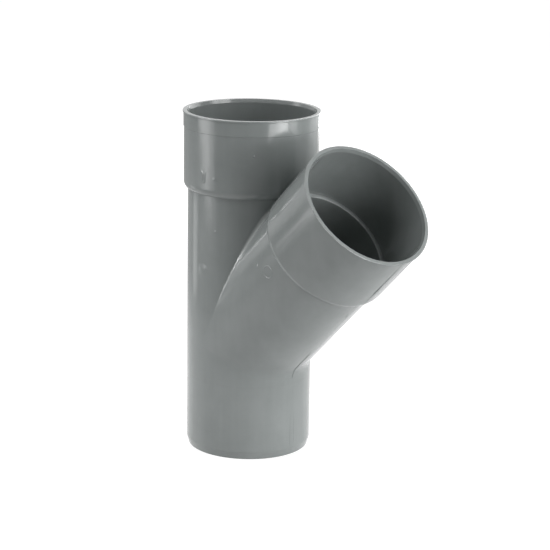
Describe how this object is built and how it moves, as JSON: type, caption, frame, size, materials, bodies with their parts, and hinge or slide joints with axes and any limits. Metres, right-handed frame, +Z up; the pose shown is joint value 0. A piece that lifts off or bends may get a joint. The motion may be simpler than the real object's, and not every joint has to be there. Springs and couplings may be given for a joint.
{
  "type": "lateral wye fitting",
  "caption": "Plastic drain wye: a straight run with a spigot below and a socket above, and a branch socket leaning out at 45 degrees.",
  "frame": {"origin": "on the run's axis, at the middle of the spigot's joint, 30 mm above the spigot's end", "axes": "+Z up along the run from the spigot to the upper socket; the branch leans from +Z toward +X; the part is the same on both sides of the XZ plane"},
  "size_m": [0.2442, 0.12, 0.3006],
  "materials": {
    "plastic": "mid grey moulded plastic, satin"
  },
  "bodies": {
    "root": {"wye_body": "plastic"}
  },
  "joints": []
}
